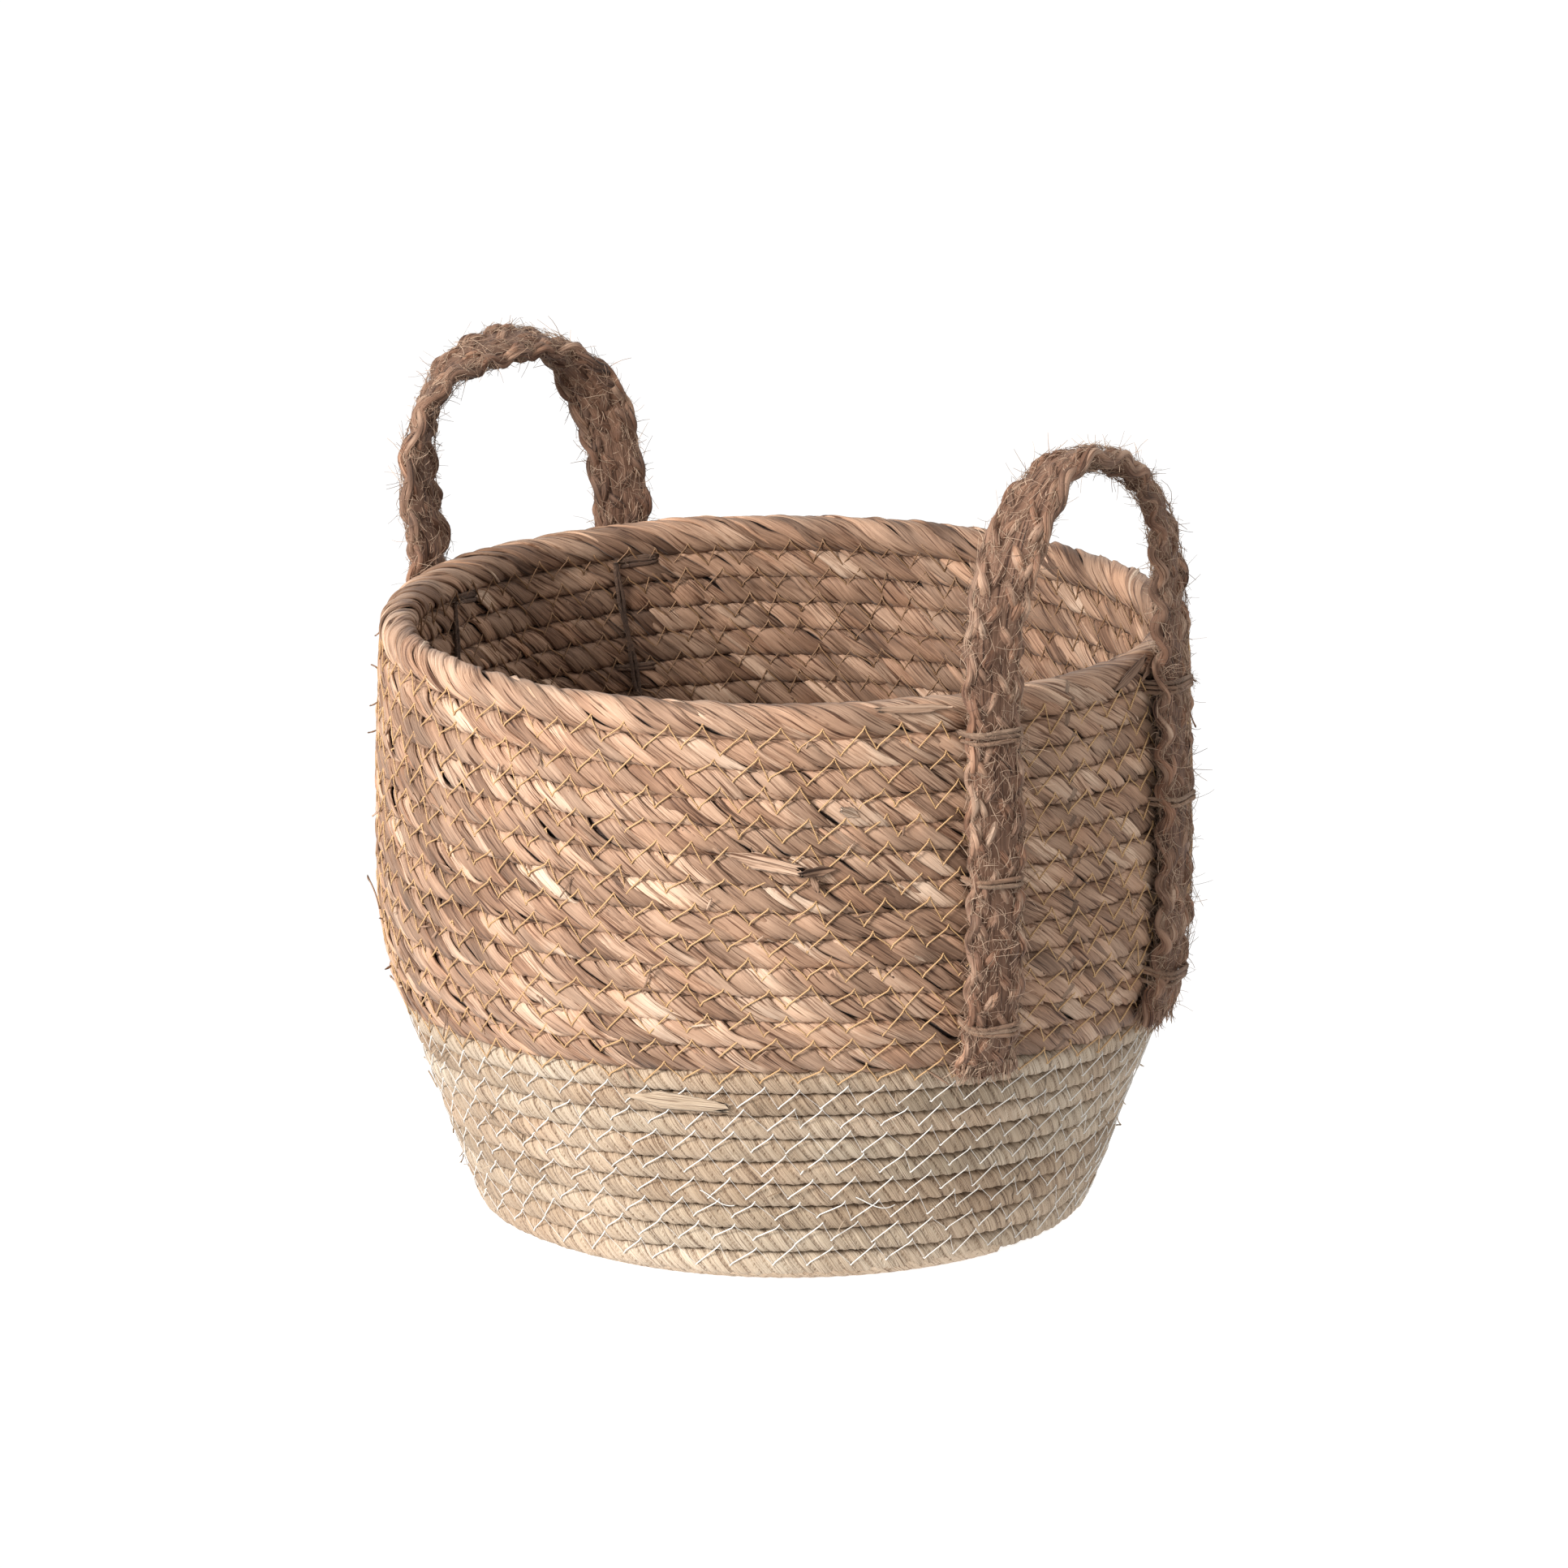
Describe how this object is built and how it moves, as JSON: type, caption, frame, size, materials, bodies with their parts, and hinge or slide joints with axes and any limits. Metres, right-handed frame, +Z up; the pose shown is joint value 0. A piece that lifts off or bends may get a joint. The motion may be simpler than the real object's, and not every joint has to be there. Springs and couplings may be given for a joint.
{
  "type": "laundry basket",
  "caption": "Round coiled-rope laundry basket, brown above and pale below, with two plaited loop handles lashed outside the wall.",
  "frame": {"origin": "middle of the flat underside", "axes": "+Z up out of the mouth, +X towards the right handle, -Y the front"},
  "size_m": [0.3811, 0.349, 0.3601],
  "materials": {
    "brown_rush": "dry twisted plant leaf, low sheen",
    "pale_husk": "pale twisted husk, low sheen",
    "jute_plait": "hairy plaited jute",
    "jute_twine": "hairy twisted jute twine",
    "golden_thread": "smooth synthetic sewing thread",
    "white_thread": "smooth synthetic sewing thread"
  },
  "bodies": {
    "root": {"base_coil": "pale_husk", "pale_wall_coil": "pale_husk", "brown_wall_coil": "brown_rush", "rim_coil": "brown_rush", "right_handle_front_leg": "jute_plait", "right_handle_rear_leg": "jute_plait", "left_handle_front_leg": "jute_plait", "left_handle_rear_leg": "jute_plait", "right_front_inner_twine": "jute_twine", "right_rear_inner_twine": "jute_twine", "left_front_inner_twine": "jute_twine", "left_rear_inner_twine": "jute_twine", "right_front_lower_tie": "jute_twine", "right_front_middle_tie": "jute_twine", "right_front_upper_tie": "jute_twine", "right_rear_lower_tie": "jute_twine", "right_rear_middle_tie": "jute_twine", "right_rear_upper_tie": "jute_twine", "left_front_lower_tie": "jute_twine", "left_front_middle_tie": "jute_twine", "left_front_upper_tie": "jute_twine", "left_rear_lower_tie": "jute_twine", "left_rear_middle_tie": "jute_twine", "left_rear_upper_tie": "jute_twine"},
    "right_handle": {"right_handle_loop": "jute_plait"},
    "left_handle": {"left_handle_loop": "jute_plait"}
  },
  "joints": [
    {"name": "right_handle_fold", "type": "hinge", "parent": "root", "child": "right_handle", "pos_m": [0.16853, 0.01031, 0.2655], "axis": [-0.061, 0.9981, 0], "range_deg": [-65, 60], "stiffness_Nm_per_rad": 0.3},
    {"name": "left_handle_fold", "type": "hinge", "parent": "root", "child": "left_handle", "pos_m": [-0.16879, 0.00442, 0.2655], "axis": [-0.0262, -0.9997, 0], "range_deg": [-65, 60], "stiffness_Nm_per_rad": 0.3}
  ]
}
